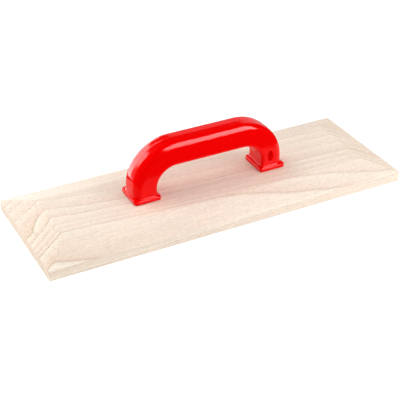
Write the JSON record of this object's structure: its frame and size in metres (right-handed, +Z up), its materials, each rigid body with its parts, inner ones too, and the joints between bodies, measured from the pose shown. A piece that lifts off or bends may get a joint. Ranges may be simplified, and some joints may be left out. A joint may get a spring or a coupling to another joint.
{
  "type": "wooden hand float",
  "caption": "Long wooden hand float with bevelled top edges and a glossy red plastic bow handle on foot flanges, screwed from below.",
  "frame": {"origin": "middle of the working face, the board's flat underside", "axes": "+X along the board, +Y across it and away from the handle's oval recess, +Z up from the working face towards the handle"},
  "size_m": [0.4, 0.14, 0.0789],
  "materials": {
    "wood": "planed and sanded pale softwood, unfinished",
    "red_plastic": "glossy moulded bright red",
    "zinc_steel": "zinc-plated"
  },
  "bodies": {
    "root": {"board": "wood", "handle": "red_plastic", "screw_left": "zinc_steel", "screw_right": "zinc_steel"}
  },
  "joints": []
}
